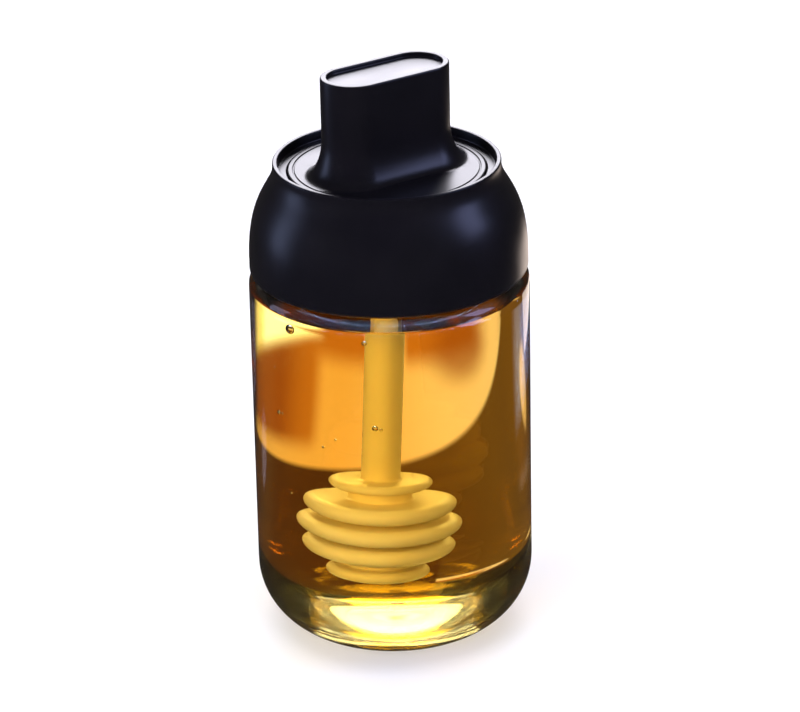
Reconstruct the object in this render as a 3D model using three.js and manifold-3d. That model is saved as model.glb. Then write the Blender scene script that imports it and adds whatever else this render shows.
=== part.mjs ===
import * as THREE from 'three';
import { mergeVertices } from 'three/addons/utils/BufferGeometryUtils.js';
import Module from 'manifold-3d';

// A glass jar of honey. A black domed collar covers the jar's neck, a stopper lid with
// an oval handle closes it, and a honey dipper hangs from the lid into the honey.
// Millimetres, +Z up. The origin is the middle of the flat base, and +X runs along the
// handle's long side.

// Gap kept between neighbouring pieces
const CLEARANCE = 0.3;

// Glass jar
const JAR_RADIUS = 35;
const JAR_CORNER = 18;
const JAR_WALL = 2.5;
const JAR_FLOOR = 4.5;
const SHOULDER_HEIGHT = 96;
const SHOULDER_ROUND = 3;
const NECK_RADIUS = 30.9;
const NECK_ROUND = 0.8;
const NECK_HEIGHT = 110.5;

// Honey
const HONEY_LEVEL = 91.7;

// Domed collar
const COLLAR_RADIUS = 34.65;
const COLLAR_FOOT_ROUND = 1.6;
const DOME_START = 100;
const DOME_JOIN = { radius: 28.75, height: 121 };
const DOME_LEAN = 20;
const DOME_FULLNESS = 14.3;
const DOME_RUNOUT = 4.2;
const RIM_RADIUS = 28.2;
const RIM_START = 124;
const RIM_HEIGHT = 124.9;
const RIM_WALL = 1.25;
const RIM_ROUND = 0.35;
const LEDGE_HEIGHT = 122.4;
const SEAT_WIDTH = 2.7;
const SEAT_DEPTH = 2.5;
const ROOF_THICKNESS = 2.4;
const ROOF_ROUND = 4;

// Stopper lid
const LID_RADIUS = 24.4;
const LID_HEIGHT = 122.8;
const LID_THICKNESS = 2.6;
const LID_EDGE_ROUND = 0.3;
const LID_RISE = 0.9;
const LID_GROOVE = { inset: 1.1, width: 0.6, depth: 0.3 };
const PLUG_RADIUS = 21.6;
const PLUG_DEPTH = 4.6;
const BOSS_RADIUS = 5.6;
const BOSS_DEPTH = 14;

// Oval handle
const HANDLE_HEIGHT = 148.3;
const HANDLE_END_RADIUS = 8.13;
const HANDLE_HALF_SPACING = 9.28;
const HANDLE_EDGE_ROUND = 0.4;
const HANDLE_LIP = 1.7;
const HANDLE_RECESS = 1.1;
const FLARE_WIDTH = 5.2;
const FLARE_HEIGHT = 9.6;
const HANDLE_ROOT = 1;

// Honey dipper
const STEM_RADIUS = 3.2;
const DIPPER_PIVOT = 113;
const DIPPER_LEAN = 1.75;
const DIPPER_LEAN_TOWARDS = 145.9;
const DISCS = [
  { height: 18.6, radius: 8.4, thickness: 3 },
  { height: 24.9, radius: 12.4, thickness: 4.4 },
  { height: 30.6, radius: 13.4, thickness: 4.4 },
  { height: 36.3, radius: 12.4, thickness: 4.4 },
  { height: 42.8, radius: 8.4, thickness: 2.5 },
];
const CORE_RADIUS = 5.2;

// Facets round a full turn
const JAR_FACETS = 50;
const ROUND_FACETS = 48;
const DIPPER_FACETS = 28;
const HANDLE_FACETS = 40;

const wasm = await Module();
wasm.setup();

const point = (radius, height) => new THREE.Vector2(radius, height);
const radians = THREE.MathUtils.degToRad;

// An arc in the radius and height plane, from one angle to another in degrees, where 0
// points outwards and 90 points up. A rise other than its size makes it part of an ellipse.
function arc(radius, height, size, from, to, steps, rise = size) {
  const curve = new THREE.EllipseCurve(radius, height, size, rise, radians(from), radians(to), to < from);
  return curve.getPoints(steps);
}

// A body of revolution about +Z.
function turned(profile, facets) {
  return new THREE.LatheGeometry(profile, facets).rotateX(Math.PI / 2);
}

// A body of revolution pulled apart along X, so that its round plan becomes an oval with
// straight sides.
function turnedOval(profile, facets, halfSpacing) {
  const step = (2 * Math.PI) / facets;
  const geometry = new THREE.LatheGeometry(profile, facets, step / 2);
  const position = geometry.attributes.position;
  for (let column = 0; column <= facets; column++) {
    const side = Math.sign(Math.sin(step * (column + 0.5)));
    for (let row = 0; row < profile.length; row++) {
      const vertex = column * profile.length + row;
      position.setX(vertex, position.getX(vertex) + side * halfSpacing);
    }
  }
  return geometry.rotateX(Math.PI / 2);
}

function toSolid(geometry) {
  const bare = geometry.clone();
  bare.deleteAttribute('normal');
  bare.deleteAttribute('uv');
  const merged = mergeVertices(bare, 1e-4);
  const index = merged.index.array;
  const corners = [];
  for (let i = 0; i < index.length; i += 3) {
    const [a, b, c] = [index[i], index[i + 1], index[i + 2]];
    if (a !== b && b !== c && c !== a) corners.push(a, b, c);
  }
  const mesh = new wasm.Mesh({
    numProp: 3,
    vertProperties: merged.attributes.position.array,
    triVerts: new Uint32Array(corners),
  });
  return new wasm.Manifold(mesh);
}

function toGeometry(solid) {
  const mesh = solid.getMesh();
  const geometry = new THREE.BufferGeometry();
  geometry.setAttribute('position', new THREE.BufferAttribute(mesh.vertProperties, 3));
  geometry.setIndex(new THREE.BufferAttribute(mesh.triVerts, 1));
  geometry.computeVertexNormals();
  return geometry;
}

function named(name, geometry, material) {
  const mesh = new THREE.Mesh(geometry, material);
  mesh.name = name;
  return mesh;
}

// The jar's straight side, round base corner, shoulder and plain neck, with one wall
// thickness and a thicker floor.
function jarGeometry() {
  const inner = JAR_RADIUS - JAR_WALL;
  const flat = JAR_RADIUS - JAR_CORNER;
  const innerCorner = inner - flat;
  const innerShoulder = SHOULDER_HEIGHT - JAR_WALL;
  const innerNeck = NECK_RADIUS - JAR_WALL;
  const lip = JAR_WALL / 4;
  return turned([
    point(0, 0),
    ...arc(flat, JAR_CORNER, JAR_CORNER, -90, 0, 6),
    ...arc(JAR_RADIUS - SHOULDER_ROUND, SHOULDER_HEIGHT - SHOULDER_ROUND, SHOULDER_ROUND, 0, 90, 3),
    ...arc(NECK_RADIUS + NECK_ROUND, SHOULDER_HEIGHT + NECK_ROUND, NECK_ROUND, 270, 180, 2),
    ...arc(NECK_RADIUS - lip, NECK_HEIGHT - lip, lip, 0, 90, 2),
    point(innerNeck + lip, NECK_HEIGHT),
    point(innerNeck, NECK_HEIGHT - lip),
    point(innerNeck, innerShoulder + NECK_ROUND),
    ...arc(inner - SHOULDER_ROUND, innerShoulder - SHOULDER_ROUND, SHOULDER_ROUND, 90, 0, 3),
    ...arc(flat, JAR_FLOOR + innerCorner, innerCorner, 0, -90, 6),
    point(0, JAR_FLOOR),
  ], JAR_FACETS);
}

// The honey fills the jar to its level, with an opening round the dipper.
function honeyGeometry(dipperSpace) {
  const inner = JAR_RADIUS - JAR_WALL;
  const flat = JAR_RADIUS - JAR_CORNER;
  const cornerCentre = JAR_FLOOR + inner - flat;
  const corner = inner - flat - CLEARANCE;
  const shoulder = SHOULDER_ROUND - CLEARANCE;
  const shoulderCentre = SHOULDER_HEIGHT - JAR_WALL - SHOULDER_ROUND;
  const topAngle = THREE.MathUtils.radToDeg(Math.asin((HONEY_LEVEL - shoulderCentre) / shoulder));
  const fill = turned([
    point(0, cornerCentre - corner),
    ...arc(flat, cornerCentre, corner, -90, 0, 6),
    ...arc(inner - SHOULDER_ROUND, shoulderCentre, shoulder, 0, topAngle, 2),
    point(0, HONEY_LEVEL),
  ], ROUND_FACETS);
  return toGeometry(toSolid(fill).subtract(dipperSpace));
}

// The outside of the collar, from the round of its foot to the top of its rim.
function domeOutline() {
  const lean = radians(DOME_LEAN);
  const { radius, height } = DOME_JOIN;
  const dome = new THREE.CubicBezierCurve(
    point(COLLAR_RADIUS, DOME_START),
    point(COLLAR_RADIUS, DOME_START + DOME_FULLNESS),
    point(radius + DOME_RUNOUT * Math.sin(lean), height - DOME_RUNOUT * Math.cos(lean)),
    point(radius, height),
  );
  const turnUp = new THREE.QuadraticBezierCurve(
    point(radius, height),
    point(RIM_RADIUS, height + (radius - RIM_RADIUS) / Math.tan(lean)),
    point(RIM_RADIUS, RIM_START),
  );
  return [...dome.getPoints(8), ...turnUp.getPoints(2).slice(1)];
}

// A hollow collar round the neck: foot, dome, thin upright rim, and inside the rim a
// ledge and a stepped seat for the lid.
function collarGeometry() {
  const foot = COLLAR_FOOT_ROUND;
  const bottom = SHOULDER_HEIGHT + CLEARANCE;
  const bore = NECK_RADIUS + CLEARANCE;
  const mouth = LID_RADIUS + CLEARANCE;
  const seat = LEDGE_HEIGHT - SEAT_DEPTH;
  const roof = seat - ROOF_THICKNESS;
  return turned([
    point(bore, bottom),
    ...arc(COLLAR_RADIUS - foot, bottom + foot, foot, -90, 0, 3),
    ...domeOutline(),
    ...arc(RIM_RADIUS - RIM_ROUND, RIM_HEIGHT - RIM_ROUND, RIM_ROUND, 0, 90, 2),
    point(RIM_RADIUS - RIM_WALL, RIM_HEIGHT),
    point(RIM_RADIUS - RIM_WALL, LEDGE_HEIGHT),
    point(mouth, LEDGE_HEIGHT),
    point(mouth, seat),
    point(mouth - SEAT_WIDTH, seat),
    point(mouth - SEAT_WIDTH, roof),
    ...arc(bore - ROOF_ROUND, roof - ROOF_ROUND, ROOF_ROUND, 90, 0, 3),
    point(bore, bottom),
  ], ROUND_FACETS);
}

// The lid's round part: a disc with a fine groove near its edge, a plug below it and a
// boss that holds the dipper's stem.
function lidDiscGeometry() {
  const round = LID_EDGE_ROUND;
  const underside = LID_HEIGHT - LID_THICKNESS;
  const plugBottom = underside - PLUG_DEPTH;
  const groove = LID_RADIUS - LID_GROOVE.inset;
  const grooveFloor = LID_HEIGHT - LID_GROOVE.depth;
  const slope = LID_GROOVE.width / 4;
  return turned([
    point(0, underside - BOSS_DEPTH),
    point(BOSS_RADIUS, underside - BOSS_DEPTH),
    point(BOSS_RADIUS, plugBottom),
    point(PLUG_RADIUS, plugBottom),
    point(PLUG_RADIUS, underside),
    point(LID_RADIUS, underside),
    ...arc(LID_RADIUS - round, LID_HEIGHT - round, round, 0, 90, 2),
    point(groove, LID_HEIGHT),
    point(groove - slope, grooveFloor),
    point(groove - LID_GROOVE.width + slope, grooveFloor),
    point(groove - LID_GROOVE.width, LID_HEIGHT),
    point(0, LID_HEIGHT + LID_RISE),
  ], ROUND_FACETS);
}

// The handle: an oval grip that flares into the lid and has a shallow recess in its top.
function handleGeometry() {
  const round = HANDLE_EDGE_ROUND;
  const foot = HANDLE_END_RADIUS + FLARE_WIDTH;
  const flareTop = LID_HEIGHT + FLARE_HEIGHT;
  const recess = HANDLE_END_RADIUS - HANDLE_LIP;
  return turnedOval([
    point(0, LID_HEIGHT - HANDLE_ROOT),
    point(foot, LID_HEIGHT - HANDLE_ROOT),
    ...arc(foot, flareTop, FLARE_WIDTH, 270, 180, 6, FLARE_HEIGHT),
    ...arc(HANDLE_END_RADIUS - round, HANDLE_HEIGHT - round, round, 0, 90, 2),
    point(recess, HANDLE_HEIGHT),
    point(recess, HANDLE_HEIGHT - HANDLE_RECESS),
    point(0, HANDLE_HEIGHT - HANDLE_RECESS),
  ], HANDLE_FACETS, HANDLE_HALF_SPACING);
}

function lidGeometry(dipperSpace) {
  const lid = toSolid(lidDiscGeometry()).add(toSolid(handleGeometry()));
  return toGeometry(lid.subtract(dipperSpace));
}

// The dipper stands on Z with its stem's upper end at the pivot. Its discs have round
// rims and sit on a thicker core. The spare is added all over its outside.
function dipperGeometry(spare, facets) {
  const core = CORE_RADIUS + spare;
  const profile = [];
  for (const { height, radius, thickness } of DISCS) {
    const round = thickness / 2;
    profile.push(point(core, height - round - spare));
    profile.push(...arc(radius - round, height, round + spare, -90, 90, 4));
    profile.push(point(core, height + round + spare));
  }
  profile[0].x = 0;
  profile[profile.length - 1].x = STEM_RADIUS + spare;
  profile.push(point(STEM_RADIUS + spare, DIPPER_PIVOT + spare));
  profile.push(point(0, DIPPER_PIVOT + spare));
  return turned(profile, facets);
}

// Turns a piece on the dipper's pivot, so that its lower end swings out to one side.
function hangFromPivot(geometry) {
  const direction = radians(DIPPER_LEAN_TOWARDS);
  const hinge = new THREE.Vector3(Math.sin(direction), -Math.cos(direction), 0);
  const turn = new THREE.Matrix4().makeRotationAxis(hinge, radians(DIPPER_LEAN));
  return geometry
    .translate(0, 0, -DIPPER_PIVOT)
    .applyMatrix4(turn)
    .translate(0, 0, DIPPER_PIVOT);
}

const glass = new THREE.MeshStandardMaterial({
  color: '#e4ebe6', roughness: 0.04, metalness: 0, transparent: true, opacity: 0.35,
});
const honey = new THREE.MeshStandardMaterial({ color: '#e39a1c', roughness: 0.08, metalness: 0 });
const blackPlastic = new THREE.MeshStandardMaterial({ color: '#0c0c11', roughness: 0.34, metalness: 0 });
const creamPlastic = new THREE.MeshStandardMaterial({ color: '#efe2b4', roughness: 0.4, metalness: 0 });

const dipperSpace = toSolid(hangFromPivot(dipperGeometry(CLEARANCE, DIPPER_FACETS)));

const dispenser = new THREE.Group();
dispenser.add(
  named('jar', jarGeometry(), glass),
  named('honey', honeyGeometry(dipperSpace), honey),
  named('collar', collarGeometry(), blackPlastic),
  named('lid', lidGeometry(dipperSpace), blackPlastic),
  named('dipper', hangFromPivot(dipperGeometry(0, DIPPER_FACETS)), creamPlastic),
);

export default dispenser;
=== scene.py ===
import math

import bmesh
import bpy
from mathutils import Matrix, Vector


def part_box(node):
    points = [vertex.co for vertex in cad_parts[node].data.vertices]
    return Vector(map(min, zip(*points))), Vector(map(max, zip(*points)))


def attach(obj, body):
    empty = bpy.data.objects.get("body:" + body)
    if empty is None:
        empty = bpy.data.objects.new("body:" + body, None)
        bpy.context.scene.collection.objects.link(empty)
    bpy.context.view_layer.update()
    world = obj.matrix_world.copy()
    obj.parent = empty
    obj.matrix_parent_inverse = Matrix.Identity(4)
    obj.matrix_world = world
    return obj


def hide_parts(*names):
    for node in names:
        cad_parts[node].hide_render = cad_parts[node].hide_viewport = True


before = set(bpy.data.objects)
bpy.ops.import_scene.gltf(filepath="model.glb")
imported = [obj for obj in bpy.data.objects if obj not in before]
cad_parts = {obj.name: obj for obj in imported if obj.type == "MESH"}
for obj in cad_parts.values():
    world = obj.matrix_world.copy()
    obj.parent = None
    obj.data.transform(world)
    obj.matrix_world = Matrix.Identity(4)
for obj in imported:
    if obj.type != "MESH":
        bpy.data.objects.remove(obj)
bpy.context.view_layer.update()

bpy.ops.object.select_all(action="DESELECT")

# Sizes are in millimetres. Outer sizes come from the frame.
MM = 0.001
WELD = 2e-6
SMOOTH_BELOW = math.radians(32)
TURN_STEPS = 144


def reach(node):
    """A node's outer radius, lowest and highest point, in millimetres."""
    low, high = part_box(node)
    return high[0] / MM, low[2] / MM, high[2] / MM


JAR_RADIUS, _, NECK_HEIGHT = reach("jar")
_, _, HONEY_LEVEL = reach("honey")
COLLAR_RADIUS, COLLAR_FOOT, RIM_HEIGHT = reach("collar")
LID_RADIUS, _, HANDLE_HEIGHT = reach("lid")

# Glass jar
JAR_CORNER = 18
JAR_WALL = 2.5
JAR_FLOOR = 4.5
SHOULDER_HEIGHT = COLLAR_FOOT - 0.3
SHOULDER_ROUND = 3
NECK_RADIUS = 30.9
NECK_ROUND = 0.8
FOOT_ROUGH_TOP = 16
FOOT_ROUGH_FULL = 8
FOOT_ROUGHNESS = 0.036

# Honey
INTO_WALL = 0.15
HONEY_CLIMB = 0.7
CLIMB_WIDTH = 2.2
CLIMB_STEPS = 8
LEVEL_RING = 15
BUBBLE_STEPS = 20
BUBBLE_RISE = 0.92
BUBBLES = (
    # right, away, up, width
    (-22.9, -20.1, 89.1, 2.6),
    (-6.1, -30.2, 89.2, 1.3),
    (-26, -16.4, 65.3, 1.1),
    (-25.2, -17.6, 65.5, 0.6),
    (-4, -30.3, 66.7, 1.5),
    (-2.6, -30.6, 66.4, 0.8),
    (-16.2, -26.2, 60.1, 0.7),
    (-13.3, -27.8, 62.7, 0.6),
    (-23.8, -19.4, 44.7, 0.7),
    (-26.6, -15.4, 76.9, 0.5),
)

# Domed collar
COLLAR_FOOT_ROUND = 1.6
DOME_START = 100
DOME_JOIN = (28.75, 121)
DOME_LEAN = math.radians(20)
DOME_FULLNESS = 14.3
DOME_RUNOUT = 4.2
RIM_RADIUS = 28.2
RIM_START = 124
RIM_WALL = 1.25
RIM_ROUND = 0.35
LEDGE_HEIGHT = 122.4
SEAT_WIDTH = 2.7
SEAT_DEPTH = 2.5
ROOF_THICKNESS = 2.4
ROOF_ROUND = 4
GAP = 0.3

# Stopper lid and its oval handle
LID_HEIGHT = 122.8
LID_THICKNESS = 2.6
LID_EDGE_ROUND = 0.3
LID_RISE = 0.9
RISE_RUN = 4
RISE_SHARE = 0.1
GROOVE_INSET = 1.1
GROOVE_WIDTH = 0.6
GROOVE_DEPTH = 0.3
PLUG_RADIUS = 21.6
PLUG_DEPTH = 4.6
BOSS_RADIUS = 5.6
BOSS_DEPTH = 14
HANDLE_STEPS = 110
HANDLE_END_RADIUS = 8.13
HANDLE_HALF_SPACING = 9.28
HANDLE_EDGE_ROUND = 0.4
HANDLE_LIP = 1.7
HANDLE_RECESS = 1.1
HANDLE_ROOT = 1
FLARE_WIDTH = 5.2
FLARE_HEIGHT = 9.6

# Honey dipper
DIPPER_STEPS = 96
STEM_RADIUS = 3.2
STEM_TOP = 113
DIPPER_LEAN = math.radians(1.75)
DIPPER_LEAN_TOWARDS = math.radians(145.9)
DISCS = (
    # height, radius, thickness
    (18.6, 8.4, 3),
    (24.9, 12.4, 4.4),
    (30.6, 13.4, 4.4),
    (36.3, 12.4, 4.4),
    (42.8, 8.4, 2.5),
)
CORE_RADIUS = 5.2
CORE_ROUND = 0.5

# The camera looks from in front. Right, away and up are measured from its side of the jar.
CAMERA_TURN = math.radians(34.1)
CAMERA_RISE = math.radians(23.3)
CAMERA_ROLL = math.radians(1.2)
CAMERA_DISTANCE = 1003
CAMERA_LENS = 180
CAMERA_SENSOR = 36
NEAR_CLIP = 10
LOOK_AT = (2.26, 0, 72.1)
RIGHT = Vector((math.cos(CAMERA_TURN), -math.sin(CAMERA_TURN), 0))
AWAY = Vector((math.sin(CAMERA_TURN), math.cos(CAMERA_TURN), 0))
UP = Vector((0, 0, 1))


def place(right, away, up):
    """A point of the studio, in metres in the row frame."""
    return (RIGHT * right + AWAY * away + UP * up) * MM


# Shaping


def arc(radius, height, size, start, end, steps, rise=None):
    """Points of an arc, or of an ellipse with that rise, in degrees: 0 is outwards and 90 up."""
    rise = size if rise is None else rise
    angles = [math.radians(start + (end - start) * i / steps) for i in range(steps + 1)]
    return [(radius + size * math.cos(a), height + rise * math.sin(a)) for a in angles]


def bezier(corners, steps):
    """Points of a Bezier curve through de Casteljau's construction."""
    points = []
    for i in range(steps + 1):
        t = i / steps
        row = [Vector(c) for c in corners]
        while len(row) > 1:
            row = [a.lerp(b, t) for a, b in zip(row, row[1:])]
        points.append(tuple(row[0]))
    return points


def turned(name, profile, steps=TURN_STEPS):
    """Draws (radius, height) points corner by corner and spins them round the jar's axis."""
    bpy.ops.object.select_all(action="DESELECT")
    bpy.ops.mesh.primitive_plane_add(size=MM, location=(0, 0, 0))
    piece = bpy.context.object
    piece.name = piece.data.name = name
    bpy.ops.object.mode_set(mode="EDIT")
    bpy.ops.mesh.merge(type="CENTER")
    here = Vector((profile[0][0], 0, profile[0][1])) * MM
    bpy.ops.transform.translate(value=here)
    for radius, height in profile[1:]:
        there = Vector((radius, 0, height)) * MM
        bpy.ops.mesh.extrude_vertices_move(TRANSFORM_OT_translate={"value": there - here})
        here = there
    bpy.ops.mesh.select_all(action="SELECT")
    bpy.ops.mesh.spin(steps=steps, angle=2 * math.pi, center=(0, 0, 0), axis=(0, 0, 1))
    close_up(piece)
    return piece


def close_up(piece):
    """Welds seams and poles, points the faces outwards and smooths the round ones."""
    bpy.ops.mesh.select_all(action="SELECT")
    bpy.ops.mesh.remove_doubles(threshold=WELD)
    bpy.ops.mesh.normals_make_consistent(inside=False)
    bpy.ops.object.mode_set(mode="OBJECT")
    bpy.ops.object.shade_smooth_by_angle(angle=SMOOTH_BELOW)


def pull_apart(piece, half_spacing):
    """Moves a turned piece's two halves apart along X, so that its plan becomes an oval."""
    bpy.ops.object.mode_set(mode="EDIT")
    for side in (1, -1):
        bpy.ops.mesh.select_all(action="DESELECT")
        mesh = bmesh.from_edit_mesh(piece.data)
        for corner in mesh.verts:
            corner.select = corner.co.x * side > WELD
        mesh.select_flush_mode()
        bmesh.update_edit_mesh(piece.data)
        bpy.ops.transform.translate(value=(side * half_spacing * MM, 0, 0))
    bpy.ops.object.mode_set(mode="OBJECT")


def fuse(piece, other):
    """Joins another piece to this one as one closed body."""
    bpy.ops.object.select_all(action="DESELECT")
    piece.select_set(True)
    bpy.context.view_layer.objects.active = piece
    union = piece.modifiers.new("fuse", "BOOLEAN")
    union.operation = "UNION"
    union.solver = "EXACT"
    union.object = other
    bpy.ops.object.modifier_apply(modifier=union.name)
    bpy.data.objects.remove(other)
    bpy.ops.object.shade_smooth_by_angle(angle=SMOOTH_BELOW)


# Materials


class Value:
    """A number in a material's nodes, so that sums on it read as plain arithmetic."""

    def __init__(self, finish, socket):
        self.finish = finish
        self.socket = socket

    def sum(self, operation, first, second):
        node = self.finish.node("ShaderNodeMath", {"operation": operation}, {0: first, 1: second})
        return Value(self.finish, node.outputs[0])

    def __add__(self, other):
        return self.sum("ADD", self, other)

    def __sub__(self, other):
        return self.sum("SUBTRACT", self, other)

    def __rsub__(self, other):
        return self.sum("SUBTRACT", other, self)

    def __mul__(self, other):
        return self.sum("MULTIPLY", self, other)

    __radd__ = __add__
    __rmul__ = __mul__

    def root(self):
        return self.sum("SQRT", self, 0.0)

    def turn_from(self, ahead):
        """The angle in degrees between straight ahead and a point that lies this far aside."""
        return self.sum("ARCTAN2", self, ahead) * math.degrees(1)

    def fade(self, start, end):
        """0 at the start and 1 at the end, with a smooth change between."""
        inputs = {"Value": self, "From Min": start, "From Max": end}
        node = self.finish.node("ShaderNodeMapRange", {"interpolation_type": "SMOOTHSTEP"}, inputs)
        return Value(self.finish, node.outputs["Result"])


class Finish:
    """One material, made node by node."""

    def __init__(self, name):
        self.material = bpy.data.materials.new(name)
        self.material.use_nodes = True
        self.tree = self.material.node_tree
        self.tree.nodes.clear()

    def node(self, kind, settings=None, inputs=None):
        made = self.tree.nodes.new(kind)
        for name, setting in (settings or {}).items():
            setattr(made, name, setting)
        for name, value in (inputs or {}).items():
            if isinstance(value, Value):
                self.tree.links.new(value.socket, made.inputs[name])
            elif isinstance(value, bpy.types.NodeSocket):
                self.tree.links.new(value, made.inputs[name])
            else:
                made.inputs[name].default_value = value
        return made

    def noise(self, size, detail=2.0):
        """An even noise from 0 to 1, whose grains are about that many millimetres."""
        where = self.node("ShaderNodeTexCoord").outputs["Object"]
        settings = {"Vector": where, "Scale": 1 / (size * MM), "Detail": detail}
        made = self.node("ShaderNodeTexNoise", None, settings)
        return Value(self, made.outputs["Fac"])

    def height(self):
        """The height over the table, in millimetres."""
        where = self.node("ShaderNodeTexCoord").outputs["Object"]
        parts = self.node("ShaderNodeSeparateXYZ", None, {"Vector": where}).outputs
        return Value(self, parts["Z"]) * (1 / MM)

    def blend(self, share, first, second):
        """A colour between two, by a share from 0 to 1."""
        made = self.node("ShaderNodeMix", {"data_type": "RGBA"})
        for name, value in {"Factor": share, "A": first, "B": second}.items():
            socket = next(s for s in made.inputs if s.name == name and s.enabled)
            if isinstance(value, Value):
                self.tree.links.new(value.socket, socket)
            elif isinstance(value, bpy.types.NodeSocket):
                self.tree.links.new(value, socket)
            else:
                socket.default_value = (*value, 1)
        return next(s for s in made.outputs if s.enabled)

    def bump(self, height, depth):
        """A normal from a height, with that depth in millimetres."""
        inputs = {"Height": height, "Distance": depth * MM, "Strength": 1.0}
        return self.node("ShaderNodeBump", None, inputs).outputs["Normal"]

    def shader(self, inputs):
        return self.node("ShaderNodeBsdfPrincipled", None, inputs).outputs["BSDF"]

    def glow(self, colour, strength):
        inputs = {"Color": colour, "Strength": strength}
        return self.node("ShaderNodeEmission", None, inputs).outputs["Emission"]

    def lets_lamps_through(self, shader, tint):
        """Clear for the rays that come from lamps, so that glass casts no solid shadow."""
        lamp = self.node("ShaderNodeLightPath").outputs["Is Shadow Ray"]
        clear = self.node("ShaderNodeBsdfTransparent", None, {"Color": (*tint, 1)})
        inputs = {0: lamp, 1: shader, 2: clear.outputs["BSDF"]}
        return self.node("ShaderNodeMixShader", None, inputs).outputs["Shader"]

    def done(self, surface, volume=None):
        inputs = {"Surface": surface}
        if volume is not None:
            inputs["Volume"] = volume
        self.node("ShaderNodeOutputMaterial", None, inputs)
        return self.material


def clear_glass():
    """Clear glass, whose moulded foot is a little rougher than its walls."""
    finish = Finish("clear_glass")
    foot = finish.height().fade(FOOT_ROUGH_TOP, FOOT_ROUGH_FULL)
    shader = finish.shader({
        "Base Color": finish.blend(finish.noise(30), (0.97, 0.985, 0.975), (1, 1, 1)),
        "Roughness": finish.noise(9) * 0.012 + foot * FOOT_ROUGHNESS,
        "IOR": 1.5,
        "Transmission Weight": 1.0,
        "Normal": finish.bump(finish.noise(24, 0.0), 0.006),
    })
    return finish.done(finish.lets_lamps_through(shader, (0.97, 0.98, 0.97)))


def golden_honey():
    finish = Finish("golden_honey")
    shader = finish.shader({
        "Base Color": finish.blend(finish.noise(25), (1.0, 0.985, 0.95), (1, 1, 1)),
        "Roughness": finish.noise(12) * 0.01,
        "IOR": 1.49,
        "Transmission Weight": 1.0,
    })
    volume = finish.node("ShaderNodeVolumeAbsorption", None, {
        "Color": (0.985, 0.77, 0.0, 1),
        "Density": 42.0,
    })
    clear = finish.lets_lamps_through(shader, (1, 1, 1))
    return finish.done(clear, volume.outputs["Volume"])


def trapped_air():
    """Air inside the honey, which bends light the other way."""
    finish = Finish("trapped_air")
    shader = finish.shader({
        "Base Color": finish.blend(finish.noise(1), (0.96, 0.95, 0.9), (1, 1, 1)),
        "Roughness": 0.01,
        "IOR": 0.78,
        "Transmission Weight": 1.0,
    })
    return finish.done(finish.lets_lamps_through(shader, (1, 1, 1)))


def satin_black():
    finish = Finish("satin_black")
    cloud = finish.noise(11)
    grain = finish.noise(0.35, 1.0)
    return finish.done(finish.shader({
        "Base Color": finish.blend(cloud, (0.002, 0.002, 0.0035), (0.0035, 0.003, 0.0055)),
        "Roughness": 0.27 + cloud * 0.08,
        "IOR": 1.46,
        "Normal": finish.bump(grain, 0.004),
    }))


def cream_plastic():
    finish = Finish("cream_plastic")
    cloud = finish.noise(7)
    return finish.done(finish.shader({
        "Base Color": finish.blend(cloud, (0.85, 0.74, 0.44), (0.91, 0.81, 0.53)),
        "Roughness": 0.34 + cloud * 0.12,
        "IOR": 1.5,
        "Subsurface Weight": 0.25,
        "Subsurface Radius": (0.004, 0.003, 0.0015),
        "Subsurface Scale": 0.5,
        "Normal": finish.bump(finish.noise(0.8, 1.0), 0.004),
    }))


# Pieces


def make_jar():
    inner = JAR_RADIUS - JAR_WALL
    flat = JAR_RADIUS - JAR_CORNER
    corner = inner - flat
    shoulder = SHOULDER_HEIGHT - SHOULDER_ROUND
    neck = NECK_RADIUS - JAR_WALL
    lip = JAR_WALL / 2
    return turned("glass_jar", [
        (0, 0),
        (flat * 0.5, 0),
        *arc(flat, JAR_CORNER, JAR_CORNER, -90, 0, 28),
        *arc(JAR_RADIUS - SHOULDER_ROUND, shoulder, SHOULDER_ROUND, 0, 90, 10),
        *arc(NECK_RADIUS + NECK_ROUND, SHOULDER_HEIGHT + NECK_ROUND, NECK_ROUND, 270, 180, 5),
        *arc(NECK_RADIUS - lip, NECK_HEIGHT - lip, lip, 0, 180, 10),
        (neck, SHOULDER_HEIGHT - JAR_WALL + NECK_ROUND),
        *arc(inner - SHOULDER_ROUND, shoulder - JAR_WALL, SHOULDER_ROUND, 90, 0, 10),
        *arc(flat, JAR_FLOOR + corner, corner, 0, -90, 24),
        (flat * 0.5, JAR_FLOOR),
        (0, JAR_FLOOR),
    ])


def make_honey():
    """The honey reaches just into the glass and climbs a little where it meets the wall."""
    inner = JAR_RADIUS - JAR_WALL
    flat = JAR_RADIUS - JAR_CORNER
    corner = inner - flat
    shoulder = SHOULDER_HEIGHT - SHOULDER_ROUND - JAR_WALL
    size = SHOULDER_ROUND + INTO_WALL
    climb = HONEY_LEVEL + HONEY_CLIMB
    end = math.degrees(math.asin((climb - shoulder) / size))
    edge, _ = arc(inner - SHOULDER_ROUND, shoulder, size, 0, end, 1)[1]
    rise = [
        (edge - CLIMB_WIDTH * i / CLIMB_STEPS, HONEY_LEVEL + HONEY_CLIMB * (1 - i / CLIMB_STEPS) ** 3)
        for i in range(CLIMB_STEPS + 1)
    ]
    return turned("honey_fill", [
        (0, JAR_FLOOR - INTO_WALL),
        *arc(flat, JAR_FLOOR + corner, corner + INTO_WALL, -90, 0, 24),
        *arc(inner - SHOULDER_ROUND, shoulder, size, 0, end, 6)[:-1],
        *rise,
        (LEVEL_RING, HONEY_LEVEL),
        (0, HONEY_LEVEL),
    ])


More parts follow.
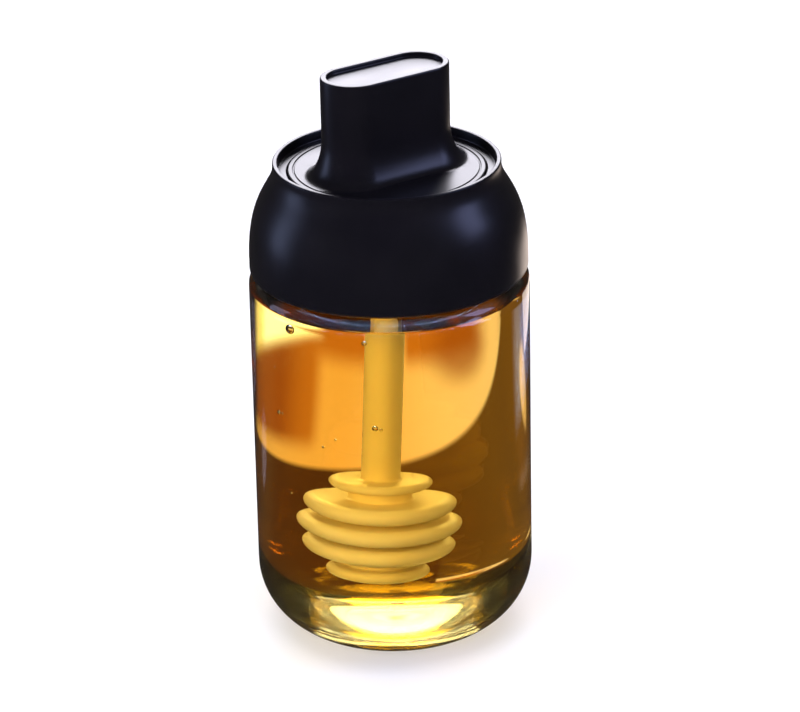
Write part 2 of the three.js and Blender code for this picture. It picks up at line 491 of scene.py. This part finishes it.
def make_collar():
    foot = COLLAR_FOOT_ROUND
    bore = NECK_RADIUS + GAP
    mouth = LID_RADIUS + GAP
    seat = LEDGE_HEIGHT - SEAT_DEPTH
    roof = seat - ROOF_THICKNESS
    radius, height = DOME_JOIN
    lean = Vector((math.sin(DOME_LEAN), -math.cos(DOME_LEAN)))
    dome = bezier([
        (COLLAR_RADIUS, DOME_START),
        (COLLAR_RADIUS, DOME_START + DOME_FULLNESS),
        Vector(DOME_JOIN) + lean * DOME_RUNOUT,
        DOME_JOIN,
    ], 28)
    turn_up = bezier([
        DOME_JOIN,
        (RIM_RADIUS, height + (radius - RIM_RADIUS) / math.tan(DOME_LEAN)),
        (RIM_RADIUS, RIM_START),
    ], 8)
    inner_rim = RIM_RADIUS - RIM_WALL
    return turned("domed_collar", [
        (bore, COLLAR_FOOT),
        *arc(COLLAR_RADIUS - foot, COLLAR_FOOT + foot, foot, -90, 0, 10),
        *dome,
        *turn_up[1:],
        *arc(RIM_RADIUS - RIM_ROUND, RIM_HEIGHT - RIM_ROUND, RIM_ROUND, 0, 90, 5),
        *arc(inner_rim + RIM_ROUND, RIM_HEIGHT - RIM_ROUND, RIM_ROUND, 90, 180, 5),
        *arc(inner_rim - RIM_ROUND, LEDGE_HEIGHT + RIM_ROUND, RIM_ROUND, 0, -90, 4),
        *arc(mouth + RIM_ROUND, LEDGE_HEIGHT - RIM_ROUND, RIM_ROUND, 90, 180, 4),
        (mouth, seat),
        (mouth - SEAT_WIDTH, seat),
        (mouth - SEAT_WIDTH, roof),
        *arc(bore - ROOF_ROUND, roof - ROOF_ROUND, ROOF_ROUND, 90, 0, 8),
        (bore, COLLAR_FOOT),
    ])


def make_lid():
    round_edge = LID_EDGE_ROUND
    underside = LID_HEIGHT - LID_THICKNESS
    plug = underside - PLUG_DEPTH
    groove = LID_RADIUS - GROOVE_INSET
    half = GROOVE_WIDTH / 2
    disc = turned("stopper_lid", [
        (0, underside - BOSS_DEPTH),
        (BOSS_RADIUS, underside - BOSS_DEPTH),
        (BOSS_RADIUS, plug),
        (PLUG_RADIUS, plug),
        (PLUG_RADIUS, underside),
        (LID_RADIUS, underside),
        *arc(LID_RADIUS - round_edge, LID_HEIGHT - round_edge, round_edge, 0, 90, 5),
        (groove, LID_HEIGHT),
        *arc(groove - half, LID_HEIGHT, half, 0, -180, 8, GROOVE_DEPTH)[1:],
        *bezier([
            (groove - GROOVE_WIDTH, LID_HEIGHT),
            (groove - GROOVE_WIDTH - RISE_RUN, LID_HEIGHT + LID_RISE * RISE_SHARE),
            (0, LID_HEIGHT + LID_RISE),
        ], 12)[1:],
    ])
    fuse(disc, make_handle())
    return disc


def make_handle():
    edge = HANDLE_EDGE_ROUND
    foot = HANDLE_END_RADIUS + FLARE_WIDTH
    recess = HANDLE_END_RADIUS - HANDLE_LIP
    floor = HANDLE_HEIGHT - HANDLE_RECESS
    handle = turned("oval_handle", [
        (0, LID_HEIGHT - HANDLE_ROOT),
        (foot, LID_HEIGHT - HANDLE_ROOT),
        *arc(foot, LID_HEIGHT + FLARE_HEIGHT, FLARE_WIDTH, 270, 180, 16, FLARE_HEIGHT),
        *arc(HANDLE_END_RADIUS - edge, HANDLE_HEIGHT - edge, edge, 0, 90, 5),
        *arc(recess + edge, HANDLE_HEIGHT - edge, edge, 90, 180, 5),
        *arc(recess - edge, floor + edge, edge, 0, -90, 4),
        (0, floor),
    ], HANDLE_STEPS)
    pull_apart(handle, HANDLE_HALF_SPACING)
    return handle


def make_dipper():
    """Five round-rimmed discs on a stem. It hangs from the lid and leans a little."""
    profile = [(0, DISCS[0][0] - DISCS[0][2] / 2)]
    for (height, radius, thickness), above in zip(DISCS, DISCS[1:] + (None,)):
        half = thickness / 2
        profile += arc(radius - half, height, half, -90, 90, 14)
        inner = CORE_RADIUS if above else STEM_RADIUS
        profile += arc(inner + CORE_ROUND, height + half + CORE_ROUND, CORE_ROUND, 270, 180, 4)
        if above:
            under = above[0] - above[2] / 2
            profile += arc(inner + CORE_ROUND, under - CORE_ROUND, CORE_ROUND, 180, 90, 4)
    profile += [(STEM_RADIUS, STEM_TOP), (0, STEM_TOP)]
    dipper = turned("honey_dipper", profile, DIPPER_STEPS)
    hinge = Vector((math.sin(DIPPER_LEAN_TOWARDS), -math.cos(DIPPER_LEAN_TOWARDS), 0))
    pivot = Matrix.Translation((0, 0, STEM_TOP * MM))
    dipper.matrix_world = pivot @ Matrix.Rotation(DIPPER_LEAN, 4, hinge) @ pivot.inverted()
    bpy.ops.object.transform_apply(location=True, rotation=True, scale=True)
    return dipper


def make_bubbles():
    """Small air bubbles in the honey, just inside the glass. Each is a slightly flattened drop."""
    bubbles = []
    for right, away, up, width in BUBBLES:
        half = width / 2
        drop = turned("bubble", arc(0, 0, half, -90, 90, 12, half * BUBBLE_RISE), BUBBLE_STEPS)
        drop.matrix_world = Matrix.Translation(place(right, away, up))
        bubbles.append(drop)
    bpy.ops.object.select_all(action="DESELECT")
    for drop in bubbles:
        drop.select_set(True)
    bpy.context.view_layer.objects.active = bubbles[0]
    bpy.ops.object.join()
    bpy.ops.object.transform_apply(location=True, rotation=True, scale=True)
    whole = bpy.context.object
    whole.name = whole.data.name = "air_bubbles"
    return whole


def dress(piece, material, slot, *nodes):
    """Gives a piece its material and body, and hides the CAD nodes that it stands for."""
    piece.data.materials.clear()
    piece.data.materials.append(material)
    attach(piece, "root")
    if nodes:
        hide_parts(*nodes)


# Studio: the floor, the cards and the lamps. Each is hidden from some kinds of rays, so that what the
# plastic reflects, what shows through the honey and what lights the dipper are set one by one.

FLOOR_SIZE = 8000
FLOOR_HEIGHT = -0.1

# The glowing card's change from painted dark to painted bright, as factors of a cubic of the place
# across
TABLE_SIZE = 3000
TABLE_HEIGHT = -0.2
TABLE_EDGE = (116, -0.32, -0.0024, -0.000028)

# The glowing card's colours, which paint the light and dark that show through the honey. The honey takes
# most of their blue.
BLACK = (0, 0, 0)
DARK_LEFT = (0.12, 0.055, 0.016)
DARK_RIGHT = (0.22, 0.14, 0.05)
BRIGHT_LEFT = (1.3, 0.93, 0.62)
BRIGHT_RIGHT = (1.45, 1.35, 1.9)
PALE = (2.6, 3.6, 6.5)
PALE_END = (2.3, 2.5, 2.6)
BROWN = (0.5, 0.17, 0.03)
TAWNY = (0.8, 0.35, 0.07)
FAR_MIDDLE = (0.3, 0.25, 0.12)
SIDE = (0.26, 0.16, 0.035)
# Painted glint: a bright oval on the glowing card, which shows as a highlight near the jar's right edge
PAINTED_GLINT = (1.5, 1.3, 1.45)

# Where they change, from start to end. Angles are in degrees from straight behind the jar, positive to
# the right, and distances in millimetres from its axis. Ovals lie at an angle and a distance.
EDGE_CHANGE = (-2, 3)
DARK_CHANGE = (15, -25)
BRIGHT_CHANGE = (12, -12)
TOP_DISTANCE = (170, 190)
TOP_RIGHT = (3, 6)
TOP_LEFT = (-2, -4)
TOP_LEFT_END = (-25, -19)
SPOT_AT = (-17, 184)
SPOT_SIZE = (9, 24)
SPOT_BLUR = (1.3, 0.4)
SPOT_SHARE = 0.75
PATCH_RIGHT = (14, 19)
PATCH_NEAR = (6, 26)
PATCH_COLOURS = (17, 33)
PALE_SLANT = 1.06
PALE_DISTANCE = (203, 219)
PALE_COLOURS = (43, 51)
FAR_DISTANCE = (215, 300)
FAR_RIGHT = (32, 14)
FAR_LEFT = (-32, -14)
SIDE_LEFT = (-30, -40)
# Where the painted glint lies on the card, its size and its blur
GLINT_AT = (-52, 130)
GLINT_SIZE = (6, 32)
GLINT_BLUR = (1, 0.6)
RIGHT_END = (66, 53)
LEFT_END = (-78, -60)

# The warm card, and the dark card's ends (right, away) and height
WARM_AT = (165, 235, 0.3)
WARM_SIZE = 140
WARM_COLOUR = (1, 0.82, 0.72, 1)
WARM_GLOW = 2.4
FLAG_START = (-3, 62)
FLAG_END = (60, 20)
FLAG_HEIGHT = 14

# The background that only the camera sees is white, and this is what all other rays see
WORLD_COLOUR = (1, 0.9, 0.8, 1)
WORLD_GLOW = 0.04

LAMP_TARGET = (0, 0, 80)
LAMPS = (
    # name, (right, away, up), width, height, glow, colour, rays that don't see it
    ("window", (0, 1100, 600), 640, 560, 8, (0.92, 0.9, 1), ("transmission",)),
    ("hot_window", (0, 870, 925), 1450, 400, 70, (0.42, 0.55, 1), ("diffuse", "glossy")),
    ("low_glow", (0, 1150, 150), 560, 300, 0.2, (1, 0.9, 0.6), ("diffuse", "glossy")),
    ("left_fill", (-900, 150, 240), 300, 560, 2.2, (0.5, 0.6, 1), ()),
    ("right_fill", (800, -110, 560), 340, 520, 4.4, (0.48, 0.54, 1), ()),
    ("left_key", (-800, -520, 360), 500, 500, 14, (0.92, 0.9, 0.95), ("glossy", "transmission")),
    ("right_key", (640, -780, 480), 500, 500, 8, (0.92, 0.9, 0.95), ("glossy", "transmission")),
    ("front_key", (0, -850, 95), 900, 170, 8.5, (0.92, 0.9, 0.95), ("glossy", "transmission")),
    ("overhead", (0, 0, 1500), 1500, 1500, 2.2, (1, 1, 1), ("glossy", "transmission")),
    ("sky", (0, 0, 1500), 900, 900, 1.2, (0.92, 0.95, 1), ("diffuse", "transmission")),
)

# Two small round lamps face down in the air between the honey and the lid
HIDDEN_AT = (0, 0, 105)
HIDDEN_WIDTH = 46
HIDDEN_LAMPS = (
    ("under_lid", 20, (0.4, 0.6, 1), ("diffuse", "glossy")),
    ("over_dipper", 5.6, (0.64, 0.76, 1), ("glossy", "transmission")),
)


def unseen_by(thing, *rays):
    for ray in rays:
        setattr(thing, "visible_" + ray, False)


def set_up(card, name, material, *rays):
    """Names a flat card of the studio, gives it its material and hides it from some rays."""
    card.name = name
    card.data.materials.append(material)
    unseen_by(card, *rays)


def make_floor():
    finish = Finish("pale_floor")
    colour = (0.92, 0.92, 0.92, 1)
    shader = finish.shader({"Base Color": colour, "Roughness": 0.9, "Specular IOR Level": 0.0})
    bpy.ops.mesh.primitive_plane_add(size=FLOOR_SIZE * MM, location=(0, 0, FLOOR_HEIGHT * MM))
    set_up(bpy.context.object, "floor", finish.done(shader), "glossy", "transmission")


def oval(angle, distance, middle, size):
    """How far a point lies from the middle of an oval on the table, where 1 is the oval's edge."""
    first = (angle - middle[0]) * (1 / size[0])
    second = (distance - middle[1]) * (1 / size[1])
    return (first * first + second * second).root()


def painted_table_light_colour(finish):
    """The glowing card's painted light: dark round the jar, bright further off and black in front of it.
    """
    where = finish.node("ShaderNodeTexCoord").outputs["Object"]
    parts = finish.node("ShaderNodeSeparateXYZ", None, {"Vector": where}).outputs
    across = Value(finish, parts["X"]) * (1 / MM)
    away = Value(finish, parts["Y"]) * (1 / MM)
    angle = across.turn_from(away)
    distance = (across * across + away * away).root()
    edge = TABLE_EDGE[-1]
    for factor in reversed(TABLE_EDGE[:-1]):
        edge = across * edge + factor
    beyond = away - edge

    bright = finish.blend(angle.fade(*BRIGHT_CHANGE), BRIGHT_LEFT, BRIGHT_RIGHT)
    top = distance.fade(*TOP_DISTANCE)
    bright = finish.blend(top * angle.fade(*TOP_RIGHT), bright, TAWNY)
    top_left = top * angle.fade(*TOP_LEFT) * angle.fade(*TOP_LEFT_END)
    bright = finish.blend(top_left, bright, TAWNY)
    spot = oval(angle, distance, SPOT_AT, SPOT_SIZE)
    bright = finish.blend(spot.fade(*SPOT_BLUR) * SPOT_SHARE, bright, BROWN)
    right = angle.fade(*PATCH_RIGHT)
    pale = (distance + angle * PALE_SLANT).fade(*PALE_DISTANCE)
    pale_colour = finish.blend(angle.fade(*PALE_COLOURS), PALE, PALE_END)
    bright = finish.blend(right * pale, bright, pale_colour)
    patch = right * (1 - pale) * beyond.fade(*PATCH_NEAR)
    patch_colour = finish.blend(angle.fade(*PATCH_COLOURS), TAWNY, BROWN)
    bright = finish.blend(patch, bright, patch_colour)
    dark = finish.blend(angle.fade(*DARK_CHANGE), DARK_LEFT, DARK_RIGHT)
    colour = finish.blend(beyond.fade(*EDGE_CHANGE), dark, bright)
    middle = angle.fade(*FAR_RIGHT) * angle.fade(*FAR_LEFT)
    far_colour = finish.blend(middle, DARK_LEFT, FAR_MIDDLE)
    colour = finish.blend(distance.fade(*FAR_DISTANCE), colour, far_colour)
    colour = finish.blend(angle.fade(*SIDE_LEFT), colour, SIDE)
    # A painted glint on the card, which shows as a highlight near the jar's right edge
    glint = oval(angle, distance, GLINT_AT, GLINT_SIZE)
    colour = finish.blend(glint.fade(*GLINT_BLUR), colour, PAINTED_GLINT)
    behind = angle.fade(*RIGHT_END) * angle.fade(*LEFT_END)
    return finish.blend(behind, BLACK, colour)


def make_painted_table_light():
    """A glowing card of painted light that stands for a lit table, seen only through the glass and
    honey. Its X points to the camera's right.
    """
    finish = Finish("painted_table_light")
    glow = finish.glow(painted_table_light_colour(finish), 1.0)
    where = (0, 0, TABLE_HEIGHT * MM)
    bpy.ops.mesh.primitive_plane_add(size=TABLE_SIZE * MM, location=where, rotation=(0, 0, -CAMERA_TURN))
    rays = ("camera", "diffuse", "glossy", "shadow", "volume_scatter")
    set_up(bpy.context.object, "painted_table_light", finish.done(glow), *rays)


def make_warm_card():
    """A warm light patch on the table, which the dome's right edge picks up."""
    finish = Finish("warm_card")
    glow = finish.glow(WARM_COLOUR, WARM_GLOW)
    bpy.ops.mesh.primitive_plane_add(size=WARM_SIZE * MM, location=place(*WARM_AT))
    rays = ("camera", "diffuse", "transmission", "shadow", "volume_scatter")
    set_up(bpy.context.object, "warm_card", finish.done(glow), *rays)


def make_dark_card():
    """A low dark card behind the jar, which keeps the glowing card's far painted light out of the foot's
    left side.
    """
    finish = Finish("dark_card")
    glow = finish.glow((*DARK_LEFT, 1), 1.0)
    start, end = place(*FLAG_START, 0), place(*FLAG_END, 0)
    along = end - start
    bpy.ops.mesh.primitive_plane_add(size=MM, location=(start + end) / 2 + UP * FLAG_HEIGHT / 2 * MM)
    card = bpy.context.object
    card.rotation_euler = (math.pi / 2, 0, math.atan2(along.y, along.x))
    card.scale = (along.length / MM, FLAG_HEIGHT, 1)
    rays = ("camera", "diffuse", "glossy", "shadow", "volume_scatter")
    set_up(card, "dark_card", finish.done(glow), *rays)


def softbox(name, at, towards, width, height, glow, colour, shape="RECTANGLE"):
    """A lamp that faces a point. Its glow is its brightness as seen, whatever its size."""
    where = place(*at)
    bpy.ops.object.light_add(type="AREA", location=where)
    lamp = bpy.context.object
    lamp.name = name
    lamp.rotation_euler = (place(*towards) - where).to_track_quat("-Z", "Y").to_euler()
    lamp.data.shape = shape
    lamp.data.size = width * MM
    lamp.data.size_y = height * MM
    filled = math.pi / 4 if shape == "ELLIPSE" else 1
    lamp.data.energy = glow * math.pi * filled * width * height * MM * MM
    lamp.data.color = colour
    return lamp


def make_lights():
    for name, at, width, height, glow, colour, rays in LAMPS:
        lamp = softbox(name, at, LAMP_TARGET, width, height, glow, colour)
        unseen_by(lamp, *rays)
    for name, glow, colour, rays in HIDDEN_LAMPS:
        size = HIDDEN_WIDTH
        lamp = softbox(name, HIDDEN_AT, (0, 0, 0), size, size, glow, colour, "ELLIPSE")
        unseen_by(lamp, *rays)


def make_world():
    world = bpy.data.worlds.new("studio")
    bpy.context.scene.world = world
    world.use_nodes = True
    tree = world.node_tree
    tree.nodes.clear()
    path = tree.nodes.new("ShaderNodeLightPath")
    seen = tree.nodes.new("ShaderNodeBackground")
    seen.inputs["Color"].default_value = (1, 1, 1, 1)
    glow = tree.nodes.new("ShaderNodeBackground")
    glow.inputs["Color"].default_value = WORLD_COLOUR
    glow.inputs["Strength"].default_value = WORLD_GLOW
    mix = tree.nodes.new("ShaderNodeMixShader")
    out = tree.nodes.new("ShaderNodeOutputWorld")
    tree.links.new(path.outputs["Is Camera Ray"], mix.inputs[0])
    tree.links.new(glow.outputs[0], mix.inputs[1])
    tree.links.new(seen.outputs[0], mix.inputs[2])
    tree.links.new(mix.outputs[0], out.inputs["Surface"])


def make_camera():
    ahead = AWAY * math.cos(CAMERA_RISE) - UP * math.sin(CAMERA_RISE)
    upright = RIGHT.cross(ahead)
    across = RIGHT * math.cos(CAMERA_ROLL) - upright * math.sin(CAMERA_ROLL)
    above = RIGHT * math.sin(CAMERA_ROLL) + upright * math.cos(CAMERA_ROLL)
    where = place(*LOOK_AT) - ahead * CAMERA_DISTANCE * MM
    camera = bpy.data.cameras.new("camera")
    camera.lens = CAMERA_LENS
    camera.sensor_width = CAMERA_SENSOR
    camera.clip_start = NEAR_CLIP * MM
    holder = bpy.data.objects.new("camera", camera)
    bpy.context.scene.collection.objects.link(holder)
    turn = Matrix((across, above, -ahead)).transposed().to_4x4()
    holder.matrix_world = Matrix.Translation(where) @ turn
    bpy.context.scene.camera = holder


def set_light_paths():
    """Glass and honey need many bounces. Light that they focus elsewhere is switched off."""
    scene = bpy.context.scene
    scene.view_settings.view_transform = "Standard"
    scene.cycles.max_bounces = 24
    scene.cycles.transmission_bounces = 20
    scene.cycles.transparent_max_bounces = 16
    scene.cycles.caustics_refractive = False
    scene.cycles.caustics_reflective = False


make_camera()
make_floor()
make_painted_table_light()
make_warm_card()
make_dark_card()
make_lights()
make_world()
set_light_paths()

black = satin_black()
dress(make_jar(), clear_glass(), "clear_glass", "jar")
dress(make_honey(), golden_honey(), "honey", "honey")
dress(make_bubbles(), trapped_air(), "honey")
dress(make_collar(), black, "black_plastic", "collar")
dress(make_lid(), black, "black_plastic", "lid")
dress(make_dipper(), cream_plastic(), "cream_plastic", "dipper")

bpy.ops.object.select_all(action="DESELECT")
